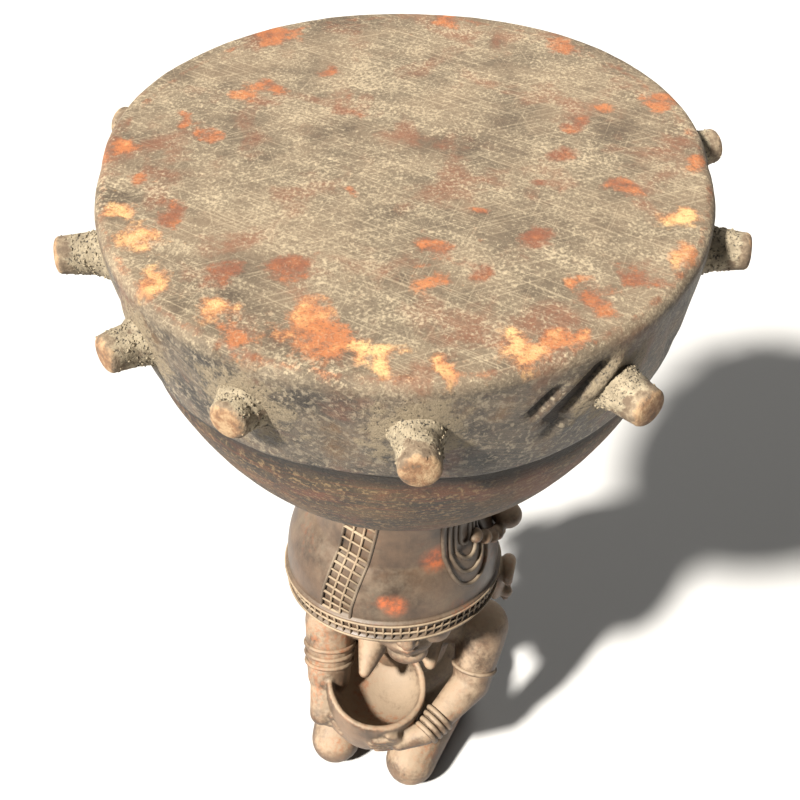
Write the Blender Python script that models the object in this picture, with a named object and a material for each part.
"""A figure drum: a deep wooden kettle drum carried on the head of a kneeling woman.

The drum bowl, the woman and the small bowl she holds are one piece of wood; the
small bowl is a node of its own so that its hollow stays clear. A hide is stretched
over the rim and held by round wooden pegs. Metres, +Z up, the
ground at Z = 0. The woman kneels towards -Y. Everything is built round the drum
axis, then moved a little so that the origin is under the middle of the object.

Places on the carving are given in rim radii: (across, back, height), with height
measured up from the ground, so the whole drum follows RIM_RADIUS.
"""

import math

import bmesh
import bpy
from mathutils import Matrix, Vector

RIM_RADIUS = 0.220
HEIGHT_IN_RADII = 4.1

# Hide and the gap that keeps it off the wood.
HIDE_THICKNESS = 0.0030
FIT_GAP = 0.0003
HIDE_SKIRT = 0.45
HIDE_SKIRT_WAVE = 0.030

# Drum bowl, in rim radii.
BOWL_BELLY = 1.032
BOWL_DEPTH = 1.466
BOWL_DEPTH_POWER = 2.144
BOWL_WIDTH_POWER = 2.291
RIM_ROUNDING = 0.045
RIM_SWELL_BACK = 0.037
RIM_SWELL_SIDES = 0.100
RIM_SWELL_FADE = 0.90
WOOD_DEPTHS = (0.18, 0.34, 0.52, 0.60, 0.80, 1.00, 1.18, 1.36)
WOOD_UNDER_HIDE = 0.55
WALL_THICKNESS = 0.020
CAVITY_DEPTH = 1.17
DRUM_SEGMENTS = 40

# Pegs: azimuth from the front, positive towards the figure's left, depth below
# the rim in rim radii, and how far each one stands out of the hide.
PEG_ROOT_RADIUS = 0.0165
PEG_TIP_RADIUS = 0.0125
PEG_HOLE_DEPTH = 0.014
PEG_DROOP = math.radians(6.0)
PEG_SEGMENTS = 9
PEGS = (
    (2.0, 0.20, 0.036),
    (37.0, 0.215, 0.035),
    (78.0, 0.20, 0.034),
    (108.0, 0.20, 0.038),
    (143.0, 0.20, 0.038),
    (177.0, 0.21, 0.036),
    (-149.0, 0.20, 0.039),
    (-116.0, 0.20, 0.036),
    (-77.0, 0.20, 0.037),
    (-53.0, 0.235, 0.031),
    (-27.0, 0.20, 0.022),
)

# Head: a domed cap of hair above a forehead band.
HEAD_ACROSS = -0.060
CAP_RADIUS = 0.530
CAP_WIDEST = 1.80
CAP_NECK_RADIUS = 0.355
CAP_NECK_HEIGHT = 2.53
BAND_LOW = 1.645
BAND_HIGH = 1.772
BAND_RISE = 0.175
BAND_PROUD = 0.008
RIB_RADIUS = 0.011
CREST_AZIMUTH = -31.0
CREST_HALF_WIDTH = 0.080
LOOP_AZIMUTH = 52.0
LOOP_HALF_WIDTHS = (0.135, 0.102, 0.069, 0.036)
LOOP_LOWEST = 2.00
LOOP_STEP = 0.070
EAR_AZIMUTHS = (84.0, -142.0)
EAR_HEIGHT = 1.60
EAR_TALL = 0.19
EAR_WIDE = 0.115
EAR_THICK = 0.085
EAR_STANDS_OUT = 0.055

# Limbs, in rim radii. The left arm is the one towards +X.
LEFT_SHOULDER = (0.440, 0.00, 1.03)
LEFT_ELBOW = (0.375, -0.215, 0.755)
LEFT_WRIST = (0.115, -0.475, 0.665)
RIGHT_SHOULDER = (-0.42, 0.03, 1.04)
RIGHT_ELBOW = (-0.435, -0.165, 0.765)
RIGHT_WRIST = (-0.470, -0.335, 0.625)
SHOULDER_RADIUS = 0.145
ELBOW_RADIUS = 0.108
WRIST_RADIUS = 0.064
LEFT_KNEE = (0.035, -0.405, 0.135)
RIGHT_KNEE = (-0.42, -0.27, 0.135)
LEFT_HIP = (0.25, 0.10, 0.27)
RIGHT_HIP = (-0.28, 0.20, 0.27)
KNEE_RADIUS = 0.150
HIP_RADIUS = 0.215
LEFT_FOOT = (0.22, 0.50, 0.045)
RIGHT_FOOT = (-0.13, 0.56, 0.045)
BRACELET_RADIUS = 0.017

# Bowl in the figure's hands.
HELD_CENTRE = (-0.158, -0.242)
HELD_TILT = math.radians(8.0)
HELD_RADIUS = 0.286
HELD_RIM_HEIGHT = 0.80
HELD_DEPTH = 0.53
HELD_WALL = 0.038
HELD_LIP = 0.012
HELD_HOLLOW = 0.21
HELD_SEGMENTS = 28

CARVING_VOXEL = 0.0032
CARVING_TRIANGLES = 3600
BODY_TRIANGLES = 6500


def metres(place):
    """Metres for a place given in rim radii."""
    return Vector(place) * RIM_RADIUS


def around(azimuth, radius, height, across=0.0):
    """A place at an azimuth from the front, in rim radii."""
    angle = math.radians(azimuth)
    return (across + radius * math.sin(angle), -radius * math.cos(angle), height)


def link_mesh(name, bm):
    bmesh.ops.recalc_face_normals(bm, faces=bm.faces)
    mesh = bpy.data.meshes.new(name)
    bm.to_mesh(mesh)
    bm.free()
    obj = bpy.data.objects.new(name, mesh)
    bpy.context.scene.collection.objects.link(obj)
    return obj


def skin_rings(bm, rings):
    """Closed surface through rings of points; a ring of one point is a pole."""
    rows = [[bm.verts.new(point) for point in ring] for ring in rings]
    for lower, upper in zip(rows, rows[1:]):
        count = max(len(lower), len(upper))
        for j in range(count):
            k = (j + 1) % count
            if len(lower) == 1:
                bm.faces.new((lower[0], upper[k], upper[j]))
            elif len(upper) == 1:
                bm.faces.new((lower[j], lower[k], upper[0]))
            else:
                bm.faces.new((lower[j], lower[k], upper[k], upper[j]))
    return rows


def level_ring(radius, height, segments):
    """Level ring of points in metres, or one point where the radius is nothing."""
    if radius < 1e-6:
        return [(0.0, 0.0, height)]
    ring = []
    for j in range(segments):
        x, y, _ = around(360.0 * j / segments, radius, 0.0)
        ring.append((x, y, height))
    return ring


def turned(name, rows, segments):
    """Turned solid from rows of (radius, height), in metres."""
    bm = bmesh.new()
    skin_rings(bm, [level_ring(radius, height, segments) for radius, height in rows])
    return link_mesh(name, bm)


def tube(name, points, radius, sides=6, closed=False):
    """Round tube along points in metres; open tubes end in a point."""
    count = len(points)
    rings = []
    for i, point in enumerate(points):
        before = points[i - 1] if (i > 0 or closed) else points[i]
        after = points[(i + 1) % count] if (i < count - 1 or closed) else points[i]
        along = (after - before).normalized()
        outward = Vector((point.x, point.y, 0.0)) if not closed else point - sum(points, Vector()) / count
        side = along.cross(outward).normalized()
        up = side.cross(along).normalized()
        ring = []
        for k in range(sides):
            angle = 2.0 * math.pi * k / sides
            ring.append(point + radius * (math.cos(angle) * side + math.sin(angle) * up))
        rings.append(ring)
    bm = bmesh.new()
    if closed:
        rows = [[bm.verts.new(p) for p in ring] for ring in rings]
        for i in range(count):
            for k in range(sides):
                n = (k + 1) % sides
                bm.faces.new((rows[i][k], rows[i][n], rows[(i + 1) % count][n], rows[(i + 1) % count][k]))
    else:
        start = points[0] + (points[0] - points[1]).normalized() * radius * 0.6
        finish = points[-1] + (points[-1] - points[-2]).normalized() * radius * 0.6
        skin_rings(bm, [[start]] + rings + [[finish]])
    return link_mesh(name, bm)


def add_ball(bm, centre, radii, turn=None):
    """Ellipsoid; centre and radii in rim radii."""
    matrix = Matrix.Translation(metres(centre))
    if turn is not None:
        matrix = matrix @ turn
    matrix = matrix @ Matrix.Diagonal((*metres(radii), 1.0))
    bmesh.ops.create_icosphere(bm, subdivisions=3, radius=1.0, matrix=matrix)


def add_limb(bm, first, first_radius, second, second_radius):
    """Tapered limb with round ends, as the hull of two balls."""
    part = bmesh.new()
    for centre, radius in ((first, first_radius), (second, second_radius)):
        matrix = Matrix.Translation(metres(centre)) @ Matrix.Scale(radius * RIM_RADIUS, 4)
        bmesh.ops.create_icosphere(part, subdivisions=2, radius=1.0, matrix=matrix)
    hull = bmesh.ops.convex_hull(part, input=part.verts)
    loose = [v for v in hull["geom_interior"] if isinstance(v, bmesh.types.BMVert)]
    bmesh.ops.delete(part, geom=loose, context="VERTS")
    mesh = bpy.data.meshes.new("limb")
    part.to_mesh(mesh)
    part.free()
    bm.from_mesh(mesh)
    bpy.data.meshes.remove(mesh)


def apply_modifiers(obj):
    """Replaces an object's mesh by its evaluated mesh."""
    graph = bpy.context.evaluated_depsgraph_get()
    baked = bpy.data.meshes.new_from_object(obj.evaluated_get(graph))
    old = obj.data
    obj.modifiers.clear()
    obj.data = baked
    bpy.data.meshes.remove(old)


def combine(body, other, operation):
    """Exact Boolean of one object with another, which is then removed."""
    step = body.modifiers.new(operation.title(), "BOOLEAN")
    step.operation = operation
    step.solver = "EXACT"
    step.object = other
    apply_modifiers(body)
    mesh = other.data
    bpy.data.objects.remove(other)
    bpy.data.meshes.remove(mesh)


def bowl_radius(depth):
    """Outer radius of the drum, in rim radii, at a depth below the rim."""
    share = min(1.0, abs(depth) / BOWL_DEPTH)
    return BOWL_BELLY * (1.0 - share ** BOWL_DEPTH_POWER) ** (1.0 / BOWL_WIDTH_POWER)


def swell(azimuth, height):
    """How far the hand-cut rim is out of round: fuller towards the back."""
    angle = math.radians(azimuth)
    backwards = max(0.0, -math.cos(angle))
    fade = max(0.0, 1.0 - (HEIGHT_IN_RADII - height / RIM_RADIUS) / RIM_SWELL_FADE)
    return 1.0 + fade * backwards * (RIM_SWELL_BACK + RIM_SWELL_SIDES * math.sin(angle) ** 2)


def drum_ring(radius, height):
    """Ring of the drum in metres, with the swell of the rim."""
    ring = []
    for j in range(DRUM_SEGMENTS):
        azimuth = 360.0 * j / DRUM_SEGMENTS
        x, y, _ = around(azimuth, radius * swell(azimuth, height), 0.0)
        ring.append((x, y, height))
    return ring


def rim_profile(depths):
    """Half section of the drum's outside from the flat top down, in metres."""
    top = HEIGHT_IN_RADII
    points = [(BOWL_BELLY - RIM_ROUNDING, top), (BOWL_BELLY - 0.3 * RIM_ROUNDING, top - 0.3 * RIM_ROUNDING)]
    points.append((bowl_radius(RIM_ROUNDING), top - RIM_ROUNDING))
    for depth in depths:
        points.append((bowl_radius(depth), top - depth))
    return [(r * RIM_RADIUS, h * RIM_RADIUS) for r, h in points]


def inset(profile, distance, last=None):
    """Moves a half section inwards along its normals, down to the last height if given."""
    moved = []
    for i, (r, h) in enumerate(profile):
        if last is not None and h < last:
            moved.append((r, h))
            continue
        r0, h0 = profile[max(i - 1, 0)]
        r1, h1 = profile[min(i + 1, len(profile) - 1)]
        along = Vector((r1 - r0, h1 - h0)).normalized()
        if i == 0:
            along = Vector((1.0, 0.0))
        moved.append((r + along.y * distance, h - along.x * distance))
    return moved


def cap_radius(height):
    """Radius of the head's hair cap, in rim radii."""
    half_tall = 0.62
    if height < CAP_WIDEST:
        return CAP_RADIUS * math.sqrt(1.0 - ((CAP_WIDEST - height) / 0.75) ** 2)
    dome = CAP_RADIUS * math.sqrt(max(0.0, 1.0 - ((height - CAP_WIDEST) / half_tall) ** 2))
    blend = min(1.0, max(0.0, (height - 2.10) / (CAP_NECK_HEIGHT - 2.10)))
    return max(dome, CAP_NECK_RADIUS + 0.075 * (1.0 - blend) ** 2)


def cap_across(height):
    """How far the head stands off the drum axis at a height."""
    blend = min(1.0, max(0.0, (height - 2.0) / (CAP_NECK_HEIGHT - 2.0)))
    return HEAD_ACROSS * (1.0 - blend)


def cap_place(azimuth, height, lift):
    """Point on the hair cap, lifted off it, in metres."""
    return metres(around(azimuth, cap_radius(height) + lift, height, cap_across(height)))


def cap_ring(height, lift, rise):
    """Ring round the cap that rises towards the face and drops at the back."""
    ring = []
    for j in range(DRUM_SEGMENTS):
        azimuth = 360.0 * j / DRUM_SEGMENTS
        ring.append(cap_place(azimuth, height + rise * math.cos(math.radians(azimuth)), lift))
    return ring


def build_drum_and_cap():
    """The turned part of the carving: drum bowl, cavity, head cap and forehead band."""
    bare_wood = (HEIGHT_IN_RADII - WOOD_UNDER_HIDE) * RIM_RADIUS
    outside = inset(rim_profile(WOOD_DEPTHS), HIDE_THICKNESS + FIT_GAP, bare_wood)
    rim_top = outside[0][1]
    floor = rim_top - CAVITY_DEPTH * RIM_RADIUS
    rings = [level_ring(0.0, floor, 1), level_ring(0.34 * RIM_RADIUS, floor + 0.004, DRUM_SEGMENTS)]
    for i in reversed(range(6)):
        depth = (CAVITY_DEPTH - 0.08) * i / 5.0
        radius = bowl_radius(max(depth, RIM_ROUNDING)) * RIM_RADIUS - WALL_THICKNESS
        rings.append(drum_ring(radius, rim_top - depth * RIM_RADIUS))
    for radius, height in outside:
        rings.append(drum_ring(radius, height))
    for flare, height in ((0.045, 2.69), (0.014, 2.62), (0.0, CAP_NECK_HEIGHT)):
        radius = (CAP_NECK_RADIUS + flare) * RIM_RADIUS
        rings.append(level_ring(radius, height * RIM_RADIUS, DRUM_SEGMENTS))

    for height, share in ((2.40, 0.05), (2.27, 0.20), (2.14, 0.40), (2.01, 0.62), (1.89, 0.82)):
        rings.append(cap_ring(height, 0.0, BAND_RISE * share))
    ridge = 1.9 * BAND_PROUD
    rings.append(cap_ring(BAND_HIGH + 0.010, 0.0, BAND_RISE))
    rings.append(cap_ring(BAND_HIGH + 0.002, ridge, BAND_RISE))
    rings.append(cap_ring(BAND_HIGH - 0.020, ridge, BAND_RISE))
    rings.append(cap_ring(BAND_HIGH - 0.028, BAND_PROUD, BAND_RISE))
    rings.append(cap_ring(BAND_LOW + 0.028, BAND_PROUD, BAND_RISE))
    rings.append(cap_ring(BAND_LOW + 0.020, ridge, BAND_RISE))
    rings.append(cap_ring(BAND_LOW, ridge, BAND_RISE))
    rings.append(cap_ring(BAND_LOW + 0.010, -0.10, BAND_RISE))
    rings.append([metres((HEAD_ACROSS, 0.0, BAND_LOW + 0.030))])
    bm = bmesh.new()
    skin_rings(bm, rings)
    return link_mesh("carved_body", bm)


def build_carving():
    """Face, neck, trunk, limbs and hands, blended into one skin."""
    bm = bmesh.new()
    # Skull and jaw under the hair, neck and trunk.
    skull = CAP_RADIUS - 0.130
    add_ball(bm, (HEAD_ACROSS + 0.015, 0.03, 1.62), (skull, skull - 0.035, 0.36))
    add_ball(bm, (-0.010, -0.10, 1.42), (0.625 * skull, 0.5625 * skull, 0.27))
    add_limb(bm, (-0.02, 0.05, 1.45), 0.19, (-0.01, 0.09, 1.02), 0.185)
    add_ball(bm, (0.0, 0.115, 0.93), (0.37, 0.225, 0.21))
    add_limb(bm, (-0.26, 0.08, 1.02), 0.155, (0.26, 0.06, 1.02), 0.155)
    add_ball(bm, (-0.01, 0.125, 0.68), (0.275, 0.215, 0.30))
    add_ball(bm, (-0.01, 0.17, 0.36), (0.40, 0.31, 0.27))
    add_ball(bm, (-0.17, 0.30, 0.33), (0.225, 0.235, 0.235))
    add_ball(bm, (0.17, 0.24, 0.33), (0.225, 0.235, 0.235))
    # Face: brow ridge, nose, cheeks, lips and chin on plain even proportions.
    face = HEAD_ACROSS + 0.075
    add_limb(bm, (face - 0.13, -0.285, 1.575), 0.045, (face + 0.13, -0.285, 1.575), 0.045)
    add_limb(bm, (face, -0.315, 1.56), 0.030, (face, -0.352, 1.455), 0.042)
    add_limb(bm, (face - 0.035, -0.330, 1.452), 0.030, (face + 0.035, -0.330, 1.452), 0.030)
    add_ball(bm, (face - 0.14, -0.235, 1.43), (0.085, 0.080, 0.100))
    add_ball(bm, (face + 0.14, -0.235, 1.43), (0.085, 0.080, 0.100))
    add_ball(bm, (face, -0.270, 1.340), (0.130, 0.070, 0.080))
    add_ball(bm, (face, -0.325, 1.366), (0.085, 0.036, 0.022))
    add_ball(bm, (face, -0.320, 1.322), (0.078, 0.038, 0.022))
    add_ball(bm, (face, -0.268, 1.245), (0.110, 0.078, 0.070))
    for side in (-1.0, 1.0):
        add_ball(bm, (face + side * 0.085, -0.300, 1.508), (0.050, 0.026, 0.020))
    # Short plait of rounded lobes and a knot of hair behind it.
    for i in range(5):
        height = 2.21 - 0.050 * i
        place = around(60.0 + 6.5 * i, cap_radius(height) + 0.022, height, cap_across(height))
        add_ball(bm, place, (0.036, 0.042, 0.028))
    add_ball(bm, (0.495, 0.0, 2.08), (0.075, 0.075, 0.058))
    # Breasts.
    add_limb(bm, (-0.150, -0.010, 1.03), 0.115, (-0.222, -0.255, 0.955), 0.034)
    add_limb(bm, (0.125, -0.010, 1.03), 0.110, (0.140, -0.205, 0.955), 0.034)
    # Arms and hands.
    add_limb(bm, LEFT_SHOULDER, SHOULDER_RADIUS, LEFT_ELBOW, ELBOW_RADIUS)
    add_limb(bm, LEFT_ELBOW, ELBOW_RADIUS, LEFT_WRIST, WRIST_RADIUS)
    add_limb(bm, RIGHT_SHOULDER, SHOULDER_RADIUS, RIGHT_ELBOW, ELBOW_RADIUS + 0.015)
    add_limb(bm, RIGHT_ELBOW, ELBOW_RADIUS, RIGHT_WRIST, WRIST_RADIUS + 0.010)
    add_hand(bm, LEFT_WRIST, 48.0, -8.0, 0.625)
    add_hand(bm, RIGHT_WRIST, -85.0, -42.0, 0.590)
    # Thighs, shins and feet, folded under.
    add_limb(bm, LEFT_HIP, HIP_RADIUS, LEFT_KNEE, KNEE_RADIUS)
    add_limb(bm, RIGHT_HIP, HIP_RADIUS, RIGHT_KNEE, KNEE_RADIUS)
    left_heel = (LEFT_FOOT[0], LEFT_FOOT[1] - 0.14, 0.075)
    right_heel = (RIGHT_FOOT[0], RIGHT_FOOT[1] - 0.14, 0.075)
    add_limb(bm, (LEFT_KNEE[0] + 0.02, LEFT_KNEE[1] + 0.06, 0.09), 0.115, left_heel, 0.090)
    add_limb(bm, (RIGHT_KNEE[0] + 0.02, RIGHT_KNEE[1] + 0.06, 0.09), 0.115, right_heel, 0.090)
    add_limb(bm, left_heel, 0.085, LEFT_FOOT, 0.060)
    add_limb(bm, right_heel, 0.085, RIGHT_FOOT, 0.060)
    carving = link_mesh("carving", bm)
    remesh = carving.modifiers.new("Remesh", "REMESH")
    remesh.mode = "VOXEL"
    remesh.voxel_size = CARVING_VOXEL
    smooth = carving.modifiers.new("Smooth", "SMOOTH")
    smooth.factor = 0.5
    smooth.iterations = 5
    apply_modifiers(carving)
    triangles = sum(len(face.vertices) - 2 for face in carving.data.polygons)
    thin = carving.modifiers.new("Decimate", "DECIMATE")
    thin.ratio = CARVING_TRIANGLES / triangles
    apply_modifiers(carving)
    return carving


def add_hand(bm, wrist, first, last, height):
    """Hand laid round the held bowl, from one azimuth of that bowl to another."""

    def on_bowl(azimuth, up, out=0.008):
        x, y, _ = around(azimuth, HELD_RADIUS + out, 0.0)
        return (HELD_CENTRE[0] + x, HELD_CENTRE[1] + y, up)

    palm = first + 0.40 * (last - first)
    knuckles = first + 0.62 * (last - first)
    add_limb(bm, wrist, WRIST_RADIUS, on_bowl(palm, height), 0.058)
    for i in range(4):
        up = height + 0.066 - 0.044 * i
        tip = last - math.copysign(4.0 * abs(i - 1.3), last - first)
        add_limb(bm, on_bowl(palm, height + 0.5 * (up - height)), 0.036, on_bowl(knuckles, up), 0.027)
        add_limb(bm, on_bowl(knuckles, up), 0.027, on_bowl(tip, up - 0.006), 0.021)
    add_limb(bm, on_bowl(palm, height + 0.03), 0.040, on_bowl(knuckles, height + 0.115), 0.030)


def held_outside(grow=0.0):
    """Outside of the bowl in the hands from its bottom up, as (radius, height over its rim)."""
    rows = []
    for share in (1.0, 0.92, 0.80, 0.62, 0.35, 0.0):
        drop = HELD_DEPTH * math.sin(0.5 * math.pi * share)
        full = (1.0 - (drop / HELD_DEPTH) ** 2.7) ** (1.0 / 2.2) if share < 1.0 else 0.0
        rows.append(((HELD_RADIUS * full + grow) if full else 0.0, -drop - grow * share))
    return rows


def turn_held(name, profile):
    """Turned solid from rows in rim radii, set where the hands hold the bowl."""
    metric = [(r * RIM_RADIUS, h * RIM_RADIUS) for r, h in profile]
    solid = turned(name, metric, HELD_SEGMENTS)
    place = Matrix.Translation(metres((*HELD_CENTRE, HELD_RIM_HEIGHT)))
    solid.data.transform(place @ Matrix.Rotation(HELD_TILT, 4, "Y"))
    return solid


def build_held_bowl():
    """Open bowl in the hands, turned inside and out."""
    inner_radius = HELD_RADIUS - HELD_WALL
    profile = held_outside() + [(HELD_RADIUS - 0.5 * HELD_LIP, HELD_LIP), (inner_radius + HELD_LIP, HELD_LIP)]
    for share in (0.0, 0.30, 0.55, 0.78, 1.0):
        drop = HELD_HOLLOW * math.sin(0.5 * math.pi * share)
        full = math.sqrt(max(0.0, 1.0 - (drop / HELD_HOLLOW) ** 2))
        profile.append((inner_radius * full, -drop - 0.004))
    return turn_held("held_bowl", profile)


def held_bowl_room():
    """Cutter for the room that the held bowl takes in the carving, with the fit gap."""
    gap = FIT_GAP / RIM_RADIUS
    top = HELD_LIP + gap
    return turn_held("held_bowl_room", held_outside(gap) + [(HELD_RADIUS + gap, top), (0.0, top)])


def ring_round(start, end, share, radius, ring_radius):
    """Bracelet round a limb, square to its length."""
    a = metres(start)
    b = metres(end)
    centre = a.lerp(b, share)
    along = (b - a).normalized()
    side = along.orthogonal().normalized()
    up = along.cross(side)
    points = []
    for k in range(12):
        angle = 2.0 * math.pi * k / 12
        points.append(centre + radius * RIM_RADIUS * (math.cos(angle) * side + math.sin(angle) * up))
    return tube("bracelet", points, ring_radius * RIM_RADIUS, sides=4, closed=True)


def build_ear(azimuth):
    """Ear shell standing off the cap: a rim round a hollow, with a small inner knob."""
    turn = Matrix.Rotation(math.radians(azimuth), 4, "Z")
    centre = metres(around(azimuth, cap_radius(EAR_HEIGHT) + EAR_STANDS_OUT, EAR_HEIGHT, HEAD_ACROSS))
    lean = Matrix.Rotation(math.radians(-14.0), 4, "Y")
    size = Matrix.Diagonal((*metres((EAR_WIDE, EAR_THICK, EAR_TALL)), 1.0))
    bm = bmesh.new()
    place = Matrix.Translation(centre) @ turn @ lean
    bmesh.ops.create_icosphere(bm, subdivisions=2, radius=1.0, matrix=place @ size)
    ear = link_mesh("ear", bm)
    hollow = bmesh.new()
    offset = Matrix.Translation(metres((-0.012, -EAR_THICK, 0.012)))
    inner = Matrix.Diagonal((*metres((0.62 * EAR_WIDE, 0.6 * EAR_THICK, 0.66 * EAR_TALL)), 1.0))
    bmesh.ops.create_icosphere(hollow, subdivisions=2, radius=1.0, matrix=place @ offset @ inner)
    combine(ear, link_mesh("ear_hollow", hollow), "DIFFERENCE")
    return ear


def sideways(distance, height):
    """Azimuth, in degrees, of a distance measured round the cap at a height."""
    return math.degrees(distance / cap_radius(height))


def build_hair_details():
    """Ribs of the hair crest, looped hair ridges and the ears."""
    details = []
    for side in (-1.0, 1.0):
        points = []
        low = BAND_HIGH + BAND_RISE * math.cos(math.radians(CREST_AZIMUTH))
        for i in range(8):
            height = low + (2.50 - low) * i / 7.0
            azimuth = CREST_AZIMUTH + side * sideways(CREST_HALF_WIDTH, height)
            points.append(cap_place(azimuth, height, 0.002))
        details.append(tube("crest_rib", points, RIB_RADIUS * RIM_RADIUS))
    for order, half_width in enumerate(LOOP_HALF_WIDTHS):
        low = LOOP_LOWEST + LOOP_STEP * order
        bend = min(0.08, half_width)
        steps = [(-half_width, 2.50), (-half_width, 0.5 * (2.50 + low + bend))]
        for i in range(7):
            angle = math.pi * i / 6.0
            steps.append((-half_width * math.cos(angle), low + bend * (1.0 - math.sin(angle))))
        steps += [(half_width, 0.5 * (2.50 + low + bend)), (half_width, 2.50)]
        points = []
        for distance, height in steps:
            points.append(cap_place(LOOP_AZIMUTH + sideways(distance, height), height, 0.002))
        details.append(tube("hair_loop", points, RIB_RADIUS * RIM_RADIUS, sides=5))
    for azimuth in EAR_AZIMUTHS:
        details.append(build_ear(azimuth))
    return details


def keep_largest(obj):
    """Leaves out slivers that a cut has parted from the main piece."""
    bm = bmesh.new()
    bm.from_mesh(obj.data)
    unseen = set(bm.verts)
    pieces = []
    while unseen:
        stack = [unseen.pop()]
        piece = set(stack)
        while stack:
            for edge in stack.pop().link_edges:
                for vertex in edge.verts:
                    if vertex in unseen:
                        unseen.discard(vertex)
                        piece.add(vertex)
                        stack.append(vertex)
        pieces.append(piece)
    pieces.sort(key=len)
    for piece in pieces[:-1]:
        bmesh.ops.delete(bm, geom=list(piece), context="VERTS")
    bm.to_mesh(obj.data)
    bm.free()


def build_body():
    body = build_drum_and_cap()
    combine(body, build_carving(), "UNION")
    for detail in build_hair_details():
        combine(body, detail, "UNION")
    for i in range(4):
        share = 0.70 + 0.095 * i
        radius = ELBOW_RADIUS + (WRIST_RADIUS - ELBOW_RADIUS) * share
        combine(body, ring_round(LEFT_ELBOW, LEFT_WRIST, share, radius, BRACELET_RADIUS), "UNION")
    for i in range(3):
        share = 0.42 + 0.16 * i
        radius = SHOULDER_RADIUS + (ELBOW_RADIUS + 0.015 - SHOULDER_RADIUS) * share
        combine(body, ring_round(RIGHT_SHOULDER, RIGHT_ELBOW, share, radius, 0.013), "UNION")
    combine(body, ring_round(LEFT_SHOULDER, LEFT_ELBOW, 0.72, 0.119, 0.014), "UNION")

    figure = body.vertex_groups.new(name="figure")
    top = (CAP_NECK_HEIGHT - 0.01) * RIM_RADIUS
    figure.add([vertex.index for vertex in body.data.vertices if vertex.co.z < top], 1.0, "REPLACE")
    thin = body.modifiers.new("Decimate", "DECIMATE")
    thin.vertex_group = figure.name
    triangles = sum(len(face.vertices) - 2 for face in body.data.polygons)
    thin.ratio = min(1.0, BODY_TRIANGLES / triangles)
    apply_modifiers(body)

    floor = bmesh.new()
    depth = 0.2
    place = Matrix.Translation((0.0, 0.0, -0.5 * depth)) @ Matrix.Diagonal((2.0, 2.0, depth, 1.0))
    bmesh.ops.create_cube(floor, size=1.0, matrix=place)
    combine(body, link_mesh("below_ground", floor), "DIFFERENCE")
    combine(body, held_bowl_room(), "DIFFERENCE")
    keep_largest(body)
    for azimuth, drop, _ in PEGS:
        combine(body, peg_hole(azimuth, drop), "DIFFERENCE")
    return body


def peg_frame(azimuth, drop):
    """Frame on the hide's outside at a peg: local +Z points outwards."""
    angle = math.radians(azimuth)
    outward = Vector((math.sin(angle), -math.cos(angle), 0.0))
    side = Vector((0.0, 0.0, 1.0)).cross(outward)
    axis = Matrix.Rotation(-PEG_DROOP, 3, side) @ outward
    up = axis.cross(side)
    height = (HEIGHT_IN_RADII - drop) * RIM_RADIUS
    origin = outward * bowl_radius(drop) * RIM_RADIUS * swell(azimuth, height)
    origin.z = height
    frame = Matrix((side, up, axis)).transposed().to_4x4()
    return Matrix.Translation(origin) @ frame


def round_bar(name, rows, frame, segments):
    """Bar turned round a frame's +Z from rows of (radius, distance)."""
    rings = [[frame @ Vector((0.0, 0.0, rows[0][1]))]]
    for radius, distance in rows:
        ring = []
        for j in range(segments):
            angle = 2.0 * math.pi * j / segments
            ring.append(frame @ Vector((radius * math.cos(angle), radius * math.sin(angle), distance)))
        rings.append(ring)
    rings.append([frame @ Vector((0.0, 0.0, rows[-1][1]))])
    bm = bmesh.new()
    skin_rings(bm, rings)
    return link_mesh(name, bm)


def peg_hole(azimuth, drop):
    """Cutter for the hole of one peg through the hide and into the wall."""
    depth = HIDE_THICKNESS + PEG_HOLE_DEPTH
    radius = PEG_ROOT_RADIUS + FIT_GAP
    return round_bar("peg_hole", [(radius, -depth), (radius, 0.02)], peg_frame(azimuth, drop), PEG_SEGMENTS)


def build_peg(number, azimuth, drop, length):
    depth = HIDE_THICKNESS + PEG_HOLE_DEPTH - FIT_GAP
    rows = [(PEG_ROOT_RADIUS, -depth), (PEG_ROOT_RADIUS, 0.002)]
    rows.append((0.5 * (PEG_ROOT_RADIUS + PEG_TIP_RADIUS), 0.55 * length))
    rows.append((PEG_TIP_RADIUS, length - 0.004))
    rows.append((0.72 * PEG_TIP_RADIUS, length))
    return round_bar("peg_%02d" % number, rows, peg_frame(azimuth, drop), PEG_SEGMENTS)


def skirt_depth(azimuth):
    """Depth of the hide's lower edge below the rim, in rim radii."""
    angle = math.radians(azimuth)
    wave = 0.55 * math.sin(3.0 * angle + 0.4) + 0.45 * math.sin(5.0 * angle - 1.1)
    return HIDE_SKIRT + HIDE_SKIRT_WAVE * wave


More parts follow.
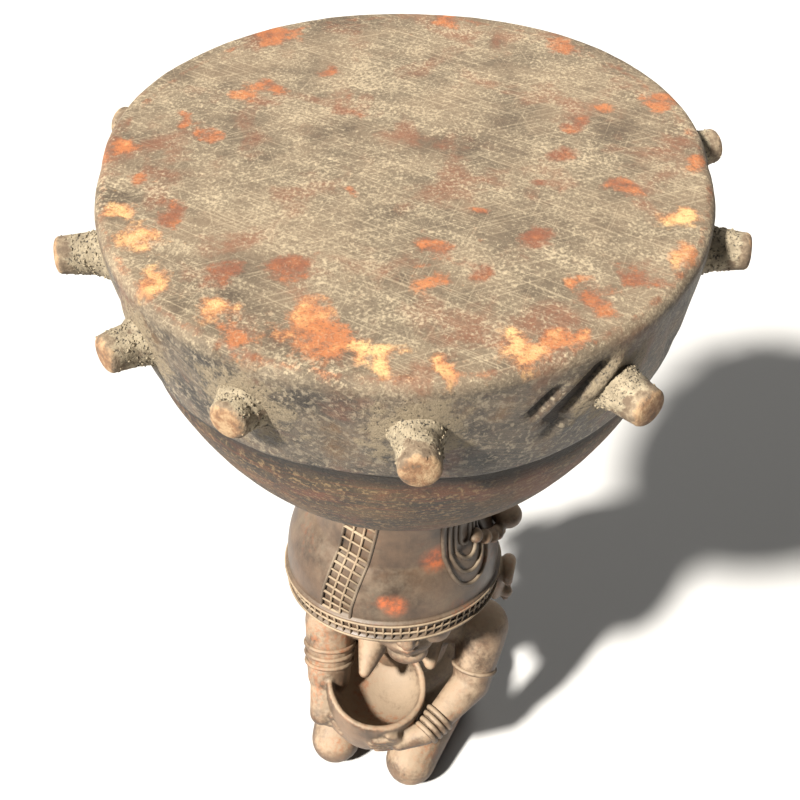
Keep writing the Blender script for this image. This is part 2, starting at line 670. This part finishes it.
def build_hide():
    """Stretched hide: a thin closed shell over the rim with a wavy lower edge."""
    rings = [[(0.0, 0.0, HEIGHT_IN_RADII * RIM_RADIUS)]]
    outer_columns = []
    inner_columns = []
    for j in range(DRUM_SEGMENTS):
        azimuth = 360.0 * j / DRUM_SEGMENTS
        last = skirt_depth(azimuth)
        outer = rim_profile([RIM_ROUNDING + (last - RIM_ROUNDING) * i / 4.0 for i in range(1, 5)])
        outer_columns.append(outer)
        inner_columns.append(inset(outer, HIDE_THICKNESS))

    def ring_of(columns, row, scale=1.0):
        ring = []
        for j, column in enumerate(columns):
            radius, height = column[row]
            azimuth = 360.0 * j / DRUM_SEGMENTS
            x, y, _ = around(azimuth, scale * radius * swell(azimuth, height), 0.0)
            ring.append((x, y, height))
        return ring

    rows = len(outer_columns[0])
    rings.append(ring_of(outer_columns, 0, 0.5))
    for row in range(rows):
        rings.append(ring_of(outer_columns, row))
    for row in reversed(range(rows)):
        rings.append(ring_of(inner_columns, row))
    rings.append(ring_of(inner_columns, 0, 0.5))
    rings.append([(0.0, 0.0, HEIGHT_IN_RADII * RIM_RADIUS - HIDE_THICKNESS)])
    bm = bmesh.new()
    skin_rings(bm, rings)
    hide = link_mesh("hide_drumhead", bm)
    for azimuth, drop, _ in PEGS:
        combine(hide, peg_hole(azimuth, drop), "DIFFERENCE")
    return hide


def make_material(name, colour, roughness):
    material = bpy.data.materials.new(name)
    material.use_nodes = True
    shader = material.node_tree.nodes["Principled BSDF"]
    shader.inputs["Base Color"].default_value = (*colour, 1.0)
    shader.inputs["Roughness"].default_value = roughness
    shader.inputs["Metallic"].default_value = 0.0
    return material


def finish(obj, material):
    obj.data.materials.clear()
    obj.data.materials.append(material)
    for face in obj.data.polygons:
        face.material_index = 0
        face.use_smooth = True
    obj.data.set_sharp_from_angle(angle=math.radians(38.0))


def settle(objects):
    """Moves the object sideways until the origin is under the middle of its box."""
    corners = [vertex.co for obj in objects for vertex in obj.data.vertices]
    middle = [0.5 * (min(c[axis] for c in corners) + max(c[axis] for c in corners)) for axis in (0, 1)]
    for obj in objects:
        obj.data.transform(Matrix.Translation((-middle[0], -middle[1], 0.0)))


def main():
    for obj in list(bpy.data.objects):
        bpy.data.objects.remove(obj)
    wood = make_material("carved_wood", (0.085, 0.052, 0.036), 0.55)
    skin = make_material("drum_hide", (0.19, 0.155, 0.115), 0.80)
    peg_wood = make_material("peg_wood", (0.17, 0.13, 0.095), 0.85)
    finish(build_body(), wood)
    finish(build_held_bowl(), wood)
    finish(build_hide(), skin)
    for number, (azimuth, drop, length) in enumerate(PEGS, start=1):
        finish(build_peg(number, azimuth, drop, length), peg_wood)
    settle(list(bpy.data.objects))


main()
